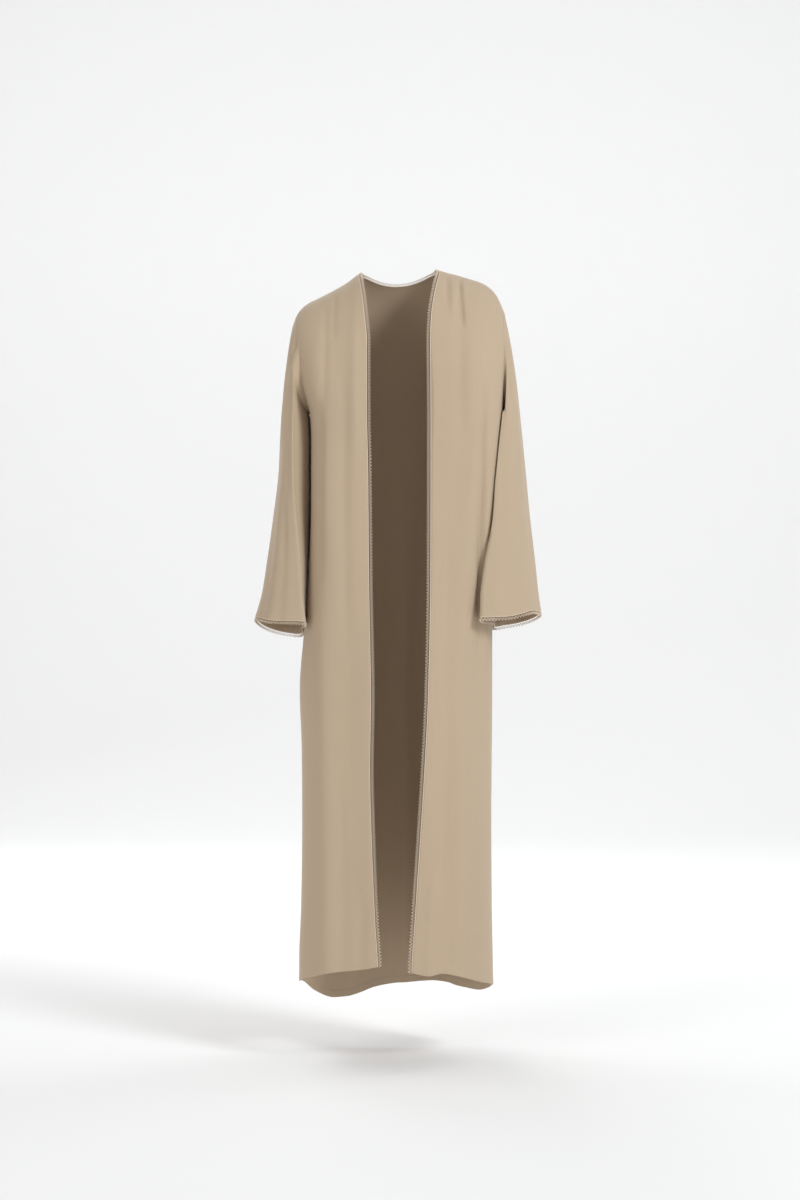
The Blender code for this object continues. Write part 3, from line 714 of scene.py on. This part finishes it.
def sleeve_rise(side, turn, share):
    """The rise of the creases of one sleeve at these turns, in degrees, and shares of its length."""
    rise = np.zeros_like(turn)
    for crease in SLEEVE_CREASES[side]:
        run = np.clip((share - crease.top_share) / (crease.low_share - crease.top_share), 0, 1)
        away = turn - mix(crease.top_turn, crease.low_turn, run)
        away = (away + 180) % 360 - 180
        ends = fade(run, 0.0, 0.25) * (1 - fade(run, 0.75, 1.0))
        rise += crease.rise * ends * np.exp(-((away / crease.wide) ** 2))
    return rise


def grid_distances(points, round_closed):
    """How far each point is across and down its panel, along the cloth."""
    across = np.linalg.norm(np.diff(points, axis=1), axis=2)
    down = np.linalg.norm(np.diff(points, axis=0), axis=2)
    from_start = np.concatenate([np.zeros((len(points), 1)), np.cumsum(across, axis=1)], axis=1)
    from_top = np.concatenate([np.zeros((1, points.shape[1])), np.cumsum(down, axis=0)], axis=0)
    if not round_closed:
        from_start -= from_start[:, -1:] / 2
    return from_start, from_top


def place_object(name, data):
    """A new object in the scene."""
    made = bpy.data.objects.new(name, data)
    bpy.context.collection.objects.link(made)
    return made


def vertex_vectors(vectors, label):
    """A mesh's vertex places or normals as rows of X, Y and Z."""
    flat = np.empty(len(vectors) * 3)
    vectors.foreach_get(label, flat)
    return flat.reshape(-1, 3)


def finished_mesh(work, name):
    """The mesh that a bmesh has made, shaded smooth."""
    mesh = bpy.data.meshes.new(name)
    work.to_mesh(mesh)
    work.free()
    for polygon in mesh.polygons:
        polygon.use_smooth = True
    return mesh


def close_mesh(mesh, face_out):
    """Merges the vertices that meet where a mesh closes, and turns its faces out where face_out is true."""
    work = bmesh.new()
    work.from_mesh(mesh)
    bmesh.ops.remove_doubles(work, verts=work.verts, dist=SAME_PLACE)
    if face_out:
        bmesh.ops.recalc_face_normals(work, faces=work.faces)
    work.to_mesh(mesh)
    work.free()


def grid_mesh(name, points, normals, round_closed):
    """A grid of points as a mesh that faces along the normals, with the place on the cloth as its UV map."""
    rows, columns = points.shape[:2]
    work = bmesh.new()
    work.loops.layers.uv.new("cut")
    bmesh.ops.create_grid(work, x_segments=columns - 1, y_segments=rows - 1, size=0.5)
    mesh = finished_mesh(work, name)
    flat = vertex_vectors(mesh.vertices, "co")
    column = np.rint((flat[:, 0] + 0.5) * (columns - 1)).astype(int)
    row = np.rint((0.5 - flat[:, 1]) * (rows - 1)).astype(int)
    mesh.vertices.foreach_set("co", points[row, column].ravel())
    corners = np.empty(len(mesh.loops), dtype=np.int32)
    mesh.loops.foreach_get("vertex_index", corners)
    across, down = grid_distances(points, round_closed)
    place = np.stack([across[row, column], down[row, column]], axis=1)
    mesh.uv_layers["cut"].data.foreach_set("uv", place[corners].ravel())
    mesh.update()
    if (vertex_vectors(mesh.vertex_normals, "vector") * normals[row, column]).sum() < 0:
        mesh.flip_normals()
    if round_closed:
        close_mesh(mesh, False)
    return mesh


def cloth_sheet(name, points, normals, thick, hem_rows, round_closed=False):
    """A panel as a thin sheet on a grid of points, twice as thick where its hem is turned up."""
    if round_closed:
        points = np.concatenate([points, points[:, :1]], axis=1)
        normals = np.concatenate([normals, normals[:, :1]], axis=1)
    piece = place_object(name, grid_mesh(name, points, normals, round_closed))
    hem_places = {tuple(np.round(place, 6)) for place in points[-hem_rows:].reshape(-1, 3)}
    turned, single = [], []
    for vertex in piece.data.vertices:
        on_hem = tuple(np.round(vertex.co, 6)) in hem_places
        (turned if on_hem else single).append(vertex.index)
    layers = piece.vertex_groups.new(name="turned_hem")
    layers.add(turned, 1.0, "REPLACE")
    layers.add(single, 0.5, "REPLACE")
    wall = piece.modifiers.new("cloth thickness", "SOLIDIFY")
    wall.thickness = 2 * thick
    wall.offset = 0
    wall.vertex_group = "turned_hem"
    return piece


class TrimLine:
    """The line of a cloth edge, with the directions away from the cloth and out of it, by length along it."""

    def __init__(self, edge, inside, normals, joins=(), round_closed=False):
        if round_closed:
            tangents = np.roll(edge, -1, axis=0) - np.roll(edge, 1, axis=0)
        else:
            tangents = np.gradient(edge, axis=0)
        away = unit(np.cross(tangents, normals))
        away *= np.sign((away * (edge - inside)).sum(axis=1, keepdims=True))
        for end in joins:
            away[end] = unit(np.cross(np.array([0, 1, 0]), normals[end]))
            away[end] *= -np.sign(away[end, 0] * edge[end, 0])
        lines = [edge, away, normals]
        if round_closed:
            lines = [np.concatenate([line, line[:1]]) for line in lines]
        self.edge, self.away, self.normals = lines
        steps = np.linalg.norm(np.diff(self.edge, axis=0), axis=1)
        self.at = np.concatenate([[0], np.cumsum(steps)])
        self.length = self.at[-1]
        self.closed = round_closed

    def place(self, flat):
        """Puts points from the flat trim, as length along, distance out and height, on to the edge."""
        run = np.clip(flat[:, 0], 0, self.length)
        lines = (self.edge, self.away, self.normals)
        read = lambda line: np.stack([np.interp(run, self.at, column) for column in line.T], axis=1)
        edge, away, normal = (read(line) for line in lines)
        return edge + unit(away) * flat[:, 1:2] + unit(normal) * flat[:, 2:3]


def flat_cord(work, line, rings, sides, centre, wide, high):
    """A cord along the flat trim, with its ends filled. centre gives its distance out by its length along."""
    run = np.linspace(0, line.length, rings)
    out = centre(run)
    grid = bmesh.ops.create_grid(work, x_segments=rings - 1, y_segments=sides, size=0.5)["verts"]
    for vertex in grid:
        i = round((vertex.co.x + 0.5) * (rings - 1))
        turn = (vertex.co.y + 0.5) * 2 * math.pi
        vertex.co = (run[i], out[i] + wide * math.cos(turn), high * math.sin(turn))
    bmesh.ops.remove_doubles(work, verts=grid, dist=SAME_PLACE)
    if not line.closed:
        ends = [edge for edge in work.edges if edge.is_boundary]
        bmesh.ops.holes_fill(work, edges=ends, sides=0)


def picot_trim(name, line, pitch):
    """The looped trim along a cloth edge: the folded edge, a looping cord, and a picot on each loop."""
    repeats = max(round(line.length / pitch), 2)
    pitch = line.length / repeats
    middle, swing = (CORD_NEAR + CORD_FAR) / 2, (CORD_FAR - CORD_NEAR) / 2
    loops = lambda run: middle - swing * np.cos(2 * np.pi * run / pitch)
    straight = lambda run: np.full_like(run, FOLD_MIDDLE)
    work = bmesh.new()
    flat_cord(work, line, 3 * repeats + 1, 8, straight, FOLD_HALF_WIDE, FOLD_HALF_HIGH)
    flat_cord(work, line, 8 * repeats + 1, 6, loops, CORD_RADIUS, CORD_RADIUS)
    for number in range(repeats):
        ball = bmesh.ops.create_icosphere(work, subdivisions=1, radius=1.0)["verts"]
        bmesh.ops.scale(work, verts=ball, vec=(PICOT_RADIUS, PICOT_HALF_LONG, PICOT_RADIUS))
        bmesh.ops.translate(work, verts=ball, vec=((number + 0.5) * pitch, PICOT_MIDDLE, 0))
    mesh = finished_mesh(work, name)
    flat = vertex_vectors(mesh.vertices, "co")
    mesh.vertices.foreach_set("co", line.place(flat).ravel())
    close_mesh(mesh, True)
    return place_object(name, mesh)


def group_tree(name, inputs, outputs):
    """An empty shader node group with named inputs, each with its type and default, and named outputs."""
    tree = bpy.data.node_groups.new(name, "ShaderNodeTree")
    for label, kind, default in inputs:
        socket = tree.interface.new_socket(label, in_out="INPUT", socket_type=kind)
        socket.default_value = default
    for label, kind in outputs:
        tree.interface.new_socket(label, in_out="OUTPUT", socket_type=kind)
    return tree, tree.nodes.new("NodeGroupInput"), tree.nodes.new("NodeGroupOutput")


def maths(tree, operation, first, second):
    """A Math node: each value is a number or another node's output."""
    node = tree.nodes.new("ShaderNodeMath")
    node.operation = operation
    for socket, value in zip(node.inputs, (first, second)):
        if isinstance(value, (int, float)):
            socket.default_value = value
        else:
            tree.links.new(value, socket)
    return node.outputs[0]


def noise(tree, vector, scale, detail):
    node = tree.nodes.new("ShaderNodeTexNoise")
    node.inputs["Scale"].default_value = scale
    node.inputs["Detail"].default_value = detail
    tree.links.new(vector, node.inputs["Vector"])
    return node.outputs["Fac"]


def scaled(tree, vector, factor):
    """A place or a colour times a factor."""
    node = tree.nodes.new("ShaderNodeVectorMath")
    node.operation = "SCALE"
    tree.links.new(vector, node.inputs[0])
    tree.links.new(factor, node.inputs["Scale"])
    return node.outputs[0]


def stretched(tree, vector, amounts, turn=(0, 0, 0)):
    """A place stretched by an amount along each axis, and turned."""
    node = tree.nodes.new("ShaderNodeMapping")
    node.inputs["Rotation"].default_value = turn
    node.inputs["Scale"].default_value = amounts
    tree.links.new(vector, node.inputs["Vector"])
    return node.outputs[0]


def vary_colour(tree, given, made, spread):
    """Puts out the group's colour, made darker or lighter by its mottle times the spread round 0."""
    factor = maths(tree, "ADD", maths(tree, "MULTIPLY", spread, given.outputs["Mottle"]), 1.0)
    tree.links.new(scaled(tree, given.outputs["Colour"], factor), made.inputs["Colour"])


def crepe_group():
    """The crepe weave: fine crossed yarns with a pebbled twist, and a faint unevenness over the panel."""
    inputs = (
        ("Colour", "NodeSocketColor", (0.5, 0.4, 0.3, 1)),
        ("Yarns per Metre", "NodeSocketFloat", 1400.0),
        ("Pebble", "NodeSocketFloat", 0.6),
        ("Mottle", "NodeSocketFloat", 0.05),
    )
    outputs = (
        ("Colour", "NodeSocketColor"),
        ("Height", "NodeSocketFloat"),
        ("Roughness", "NodeSocketFloat"),
    )
    tree, given, made = group_tree("crepe weave", inputs, outputs)
    cut = tree.nodes.new("ShaderNodeUVMap")
    cut.uv_map = "cut"
    place = tree.nodes.new("ShaderNodeTexCoord").outputs["Object"]
    yarns = scaled(tree, cut.outputs[0], given.outputs["Yarns per Metre"])
    warp = noise(tree, stretched(tree, yarns, (1.0, 0.28, 1.0)), 1.0, 1.0)
    weft = noise(tree, stretched(tree, yarns, (0.28, 1.0, 1.0)), 1.0, 1.0)
    pebble = noise(tree, yarns, 0.35, 2.0)
    crossed = maths(tree, "ADD", warp, weft)
    twisted = maths(tree, "MULTIPLY", pebble, given.outputs["Pebble"])
    height = maths(tree, "ADD", crossed, twisted)
    tree.links.new(height, made.inputs["Height"])
    cloudy = noise(tree, stretched(tree, place, (1.0, 1.0, 0.35)), 9.0, 2.0)
    slub = noise(tree, stretched(tree, cut.outputs[0], (1.0, 0.02, 1.0)), 420.0, 1.0)
    spread = maths(tree, "ADD", maths(tree, "SUBTRACT", cloudy, 0.5), maths(tree, "SUBTRACT", slub, 0.5))
    spread = maths(tree, "ADD", spread, maths(tree, "SUBTRACT", pebble, 0.5))
    vary_colour(tree, given, made, spread)
    rough = maths(tree, "ADD", maths(tree, "MULTIPLY", crossed, 0.12), 0.70)
    tree.links.new(rough, made.inputs["Roughness"])
    return tree


def thread_group():
    """Twisted thread: fine slanting ridges, and a slight change of colour along it."""
    inputs = (
        ("Colour", "NodeSocketColor", (0.6, 0.5, 0.4, 1)),
        ("Ridges per Metre", "NodeSocketFloat", 2200.0),
        ("Mottle", "NodeSocketFloat", 0.12),
    )
    outputs = (("Colour", "NodeSocketColor"), ("Height", "NodeSocketFloat"))
    tree, given, made = group_tree("twisted thread", inputs, outputs)
    place = tree.nodes.new("ShaderNodeTexCoord").outputs["Object"]
    ridge_place = scaled(tree, place, given.outputs["Ridges per Metre"])
    slanted = stretched(tree, ridge_place, (0.5, 0.5, 1.4), (0.5, 0.4, 0.6))
    tree.links.new(noise(tree, slanted, 1.0, 1.0), made.inputs["Height"])
    vary_colour(tree, given, made, maths(tree, "SUBTRACT", noise(tree, place, 160.0, 1.0), 0.5))
    return tree


def finish_material(name, group, values, colour, depth, constants):
    """A cloth or thread material: the group's colour and height, with the constants on the shader itself."""
    material = bpy.data.materials.new(name)
    material.use_nodes = True
    tree = material.node_tree
    shader = tree.nodes["Principled BSDF"]
    weave = tree.nodes.new("ShaderNodeGroup")
    weave.node_tree = group
    weave.inputs["Colour"].default_value = (*colour, 1)
    for label, value in values.items():
        weave.inputs[label].default_value = value
    tree.links.new(weave.outputs["Colour"], shader.inputs["Base Color"])
    if "Roughness" in weave.outputs:
        tree.links.new(weave.outputs["Roughness"], shader.inputs["Roughness"])
    bump = tree.nodes.new("ShaderNodeBump")
    bump.inputs["Strength"].default_value = 0.6
    bump.inputs["Distance"].default_value = depth
    tree.links.new(weave.outputs["Height"], bump.inputs["Height"])
    tree.links.new(bump.outputs[0], shader.inputs["Normal"])
    for label, value in constants.items():
        shader.inputs[label].default_value = value
    material.diffuse_color = (*colour, 1)
    return material


def shared_group(name, maker):
    """A node group by its name, made the first time that it is asked for."""
    return bpy.data.node_groups.get(name) or maker()


def crepe_material(panel):
    """The crepe of one panel, in the colour that the settings give."""
    cloth = bpy.context.scene.abaya_cloth
    values = {"Yarns per Metre": cloth.yarns, "Mottle": cloth.mottle}
    constants = {
        "Specular IOR Level": 0.25,
        "Sheen Weight": cloth.sheen,
        "Sheen Roughness": 0.45,
        "Sheen Tint": (1.0, 0.95, 0.88, 1),
    }
    group = shared_group("crepe weave", crepe_group)
    return finish_material(panel + "_crepe", group, values, cloth.colour, CREPE_DEPTH, constants)


def thread_material(run):
    """The thread of one run of trim."""
    trim = bpy.context.scene.abaya_trim
    constants = {"Roughness": 0.62, "Specular IOR Level": 0.35, "Sheen Weight": 0.15}
    group = shared_group("twisted thread", thread_group)
    return finish_material(run + "_thread", group, {}, trim.colour, THREAD_DEPTH, constants)


def add_panel(panel, grid, hem_rows, round_closed=False):
    """One cloth panel in place of its solid."""
    cloth = bpy.context.scene.abaya_cloth
    piece = cloth_sheet(panel + "_panel", *grid, cloth.thickness, hem_rows, round_closed)
    piece.data.materials.append(crepe_material(panel))
    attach(piece, "root")
    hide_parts(panel)


def add_trim(run, line):
    """One run of looped trim in place of its strip."""
    trim = bpy.context.scene.abaya_trim
    piece = picot_trim(run + "_loops", line, trim.pitch)
    piece.data.materials.append(thread_material(run))
    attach(piece, "root")
    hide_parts(run)


class ClothSettings(bpy.types.PropertyGroup):
    """The crepe that the panels are cut from."""

    colour: FloatVectorProperty(
        name="Colour",
        description="Colour of the crepe",
        subtype="COLOR",
        size=3,
        min=0,
        max=1,
        default=(0.500, 0.388, 0.272),
    )
    thickness: FloatProperty(
        name="Thickness",
        description="Thickness of one layer of the cloth",
        default=0.0007,
        min=0.0003,
        max=0.0015,
        unit="LENGTH",
    )
    yarns: FloatProperty(
        name="Yarns",
        description="Yarns per metre of the crepe",
        default=1400.0,
        min=300.0,
    )
    mottle: FloatProperty(
        name="Mottle",
        description="How much the colour varies over the cloth",
        default=0.06,
        min=0.0,
        max=0.5,
        subtype="FACTOR",
    )
    sheen: FloatProperty(
        name="Sheen",
        description="Soft light that the cloth's surface fibres catch",
        default=0.25,
        min=0.0,
        max=1.0,
        subtype="FACTOR",
    )


class TrimSettings(bpy.types.PropertyGroup):
    """The looped trim along the edges."""

    colour: FloatVectorProperty(
        name="Colour",
        description="Colour of the thread",
        subtype="COLOR",
        size=3,
        min=0,
        max=1,
        default=(0.660, 0.550, 0.420),
    )
    pitch: FloatProperty(
        name="Pitch",
        description="Length of one loop of the trim along the edge",
        default=TRIM_PITCH,
        min=0.003,
        max=0.02,
        unit="LENGTH",
    )


class StageSettings(bpy.types.PropertyGroup):
    """The floor, the backdrop and the lights."""

    floor_height: FloatProperty(
        name="Floor height",
        description="Height of the floor under the garment's mount",
        default=-1.575,
        unit="LENGTH",
    )
    key_power: FloatProperty(
        name="Key light",
        description="Power of the main light",
        default=128.0,
        min=0.0,
        unit="POWER",
    )
    fill_power: FloatProperty(
        name="Fill light",
        description="Power of the light from the other side",
        default=40.0,
        min=0.0,
        unit="POWER",
    )
    backdrop_power: FloatProperty(
        name="Backdrop light",
        description="Power of each lamp that lights the backdrop",
        default=50.0,
        min=0.0,
        unit="POWER",
    )
    sky: FloatProperty(
        name="Surrounding light",
        description="Strength of the even light from all round",
        default=0.40,
        min=0.0,
    )


class ABAYA_OT_trim(bpy.types.Operator):
    """Work the looped trim along the front edges, the back neck and the cuffs"""

    bl_idname = "abaya.trim"
    bl_label = "Make the looped trim"

    def execute(self, context):
        for side in WAYS:
            points, normals = front_grid(side)
            line = TrimLine(points[:, 0], points[:, 1], normals[:, 0], (0,))
            add_trim("edge_trim_" + side, line)
            points, normals = sleeve_grid(side)
            line = TrimLine(points[-1], points[-2], normals[-1], (), True)
            add_trim("cuff_trim_" + side, line)
        points, normals = back_grid()
        neck_start = SHOULDER_ROUND + 2
        neck = slice(neck_start, neck_start + NECK_ROUND + 1)
        line = TrimLine(points[0, neck], points[1, neck], normals[0, neck], (0, -1))
        add_trim("neck_trim", line)
        return {"FINISHED"}


class ABAYA_OT_back(bpy.types.Operator):
    """Lay the back panel on its form"""

    bl_idname = "abaya.back"
    bl_label = "Make the back"

    def execute(self, context):
        add_panel("back", back_grid(), BODY_HEM_ROWS)
        return {"FINISHED"}


class ABAYA_OT_fronts(bpy.types.Operator):
    """Lay the two front panels on their forms"""

    bl_idname = "abaya.fronts"
    bl_label = "Make the fronts"

    def execute(self, context):
        for side in WAYS:
            add_panel("front_" + side, front_grid(side), BODY_HEM_ROWS)
        return {"FINISHED"}


class ABAYA_OT_sleeves(bpy.types.Operator):
    """Lay the two sleeves on their forms"""

    bl_idname = "abaya.sleeves"
    bl_label = "Make the sleeves"

    def execute(self, context):
        for side in WAYS:
            add_panel("sleeve_" + side, sleeve_grid(side), SLEEVE_HEM_ROWS, True)
        return {"FINISHED"}


def add_light(lamp, power):
    """A soft round light that stands and points as its row says."""
    light = bpy.data.lights.new(lamp.name, "AREA")
    light.shape = "DISK"
    light.size = lamp.size
    light.energy = power * lamp.share
    light.color = lamp.colour
    stand = place_object(lamp.name, light)
    stand.location = lamp.place
    over, ahead, up = np.array(lamp.aim) - np.array(lamp.place)
    stand.rotation_euler = (math.atan2(math.hypot(over, ahead), -up), 0, math.atan2(-over, ahead))


def add_sweep(floor_height):
    """The floor, which curves up into a backdrop far behind the garment."""
    wide, near, far, radius, tall = 14.0, -9.0, 7.0, 2.5, 6.0
    flat = far - radius - near
    arc = radius * math.pi / 2
    length = flat + arc + tall - radius
    work = bmesh.new()
    bmesh.ops.create_grid(work, x_segments=8, y_segments=120, size=0.5)
    for vertex in work.verts:
        run = (vertex.co.y + 0.5) * length
        turn = min(max(run - flat, 0) / radius, math.pi / 2)
        up = max(run - flat - arc, 0)
        vertex.co.x *= 2 * wide
        vertex.co.y = near + min(run, flat) + radius * math.sin(turn)
        vertex.co.z = floor_height + radius * (1 - math.cos(turn)) + up
    sweep = place_object("studio_sweep", finished_mesh(work, "studio_sweep"))
    material = bpy.data.materials.new("studio_paint")
    material.use_nodes = True
    shader = material.node_tree.nodes["Principled BSDF"]
    shader.inputs["Base Color"].default_value = (0.94, 0.94, 0.94, 1)
    shader.inputs["Roughness"].default_value = 0.9
    shader.inputs["Specular IOR Level"].default_value = 0.1
    sweep.data.materials.append(material)


def add_world(strength):
    """An even pale light from all round."""
    world = bpy.data.worlds.new("studio_air")
    world.use_nodes = True
    tree = world.node_tree
    air = tree.nodes["Background"]
    air.inputs["Color"].default_value = (1.0, 1.0, 1.0, 1)
    air.inputs["Strength"].default_value = strength
    bpy.context.scene.world = world


def add_camera():
    """A level camera in front of the garment."""
    camera = bpy.data.cameras.new("studio_camera")
    camera.sensor_width = CAMERA_SENSOR
    camera.lens = CAMERA_LENS
    stand = place_object("studio_camera", camera)
    stand.location = CAMERA_PLACE
    stand.rotation_euler = (math.pi / 2, 0, 0)
    bpy.context.scene.camera = stand


class ABAYA_OT_stage(bpy.types.Operator):
    """Set up the floor, the backdrop, the lights and the camera"""

    bl_idname = "abaya.stage"
    bl_label = "Set the stage"

    def execute(self, context):
        stage = context.scene.abaya_stage
        add_camera()
        add_sweep(stage.floor_height)
        add_world(stage.sky)
        for lamp in LAMPS:
            add_light(lamp, getattr(stage, lamp.power))
        context.scene.view_settings.view_transform = "Standard"
        return {"FINISHED"}


class ABAYA_PT_panel(bpy.types.Panel):
    """The settings and the steps of the cloak"""

    bl_idname = "ABAYA_PT_panel"
    bl_label = "Abaya cloak"
    bl_space_type = "VIEW_3D"
    bl_region_type = "UI"
    bl_category = "Abaya"

    def draw(self, context):
        for settings in (context.scene.abaya_cloth, context.scene.abaya_trim, context.scene.abaya_stage):
            box = self.layout.box()
            for label in settings.bl_rna.properties.keys():
                if label not in ("rna_type", "name"):
                    box.prop(settings, label)
        for step in STEPS:
            self.layout.operator(step.bl_idname)


SETTINGS = {"abaya_cloth": ClothSettings, "abaya_trim": TrimSettings, "abaya_stage": StageSettings}
STEPS = (ABAYA_OT_stage, ABAYA_OT_trim, ABAYA_OT_back, ABAYA_OT_fronts, ABAYA_OT_sleeves)


def register():
    for settings in SETTINGS.values():
        bpy.utils.register_class(settings)
    for step in (*STEPS, ABAYA_PT_panel):
        bpy.utils.register_class(step)
    for name, settings in SETTINGS.items():
        setattr(bpy.types.Scene, name, PointerProperty(type=settings))


def unregister():
    for name in SETTINGS:
        delattr(bpy.types.Scene, name)
    for step in (ABAYA_PT_panel, *reversed(STEPS)):
        bpy.utils.unregister_class(step)
    for settings in SETTINGS.values():
        bpy.utils.unregister_class(settings)


def main():
    """Makes the stage and all pieces."""
    register()
    bpy.ops.abaya.stage()
    bpy.ops.abaya.trim()
    bpy.ops.abaya.back()
    bpy.ops.abaya.fronts()
    bpy.ops.abaya.sleeves()


if __name__ == "__main__":
    main()
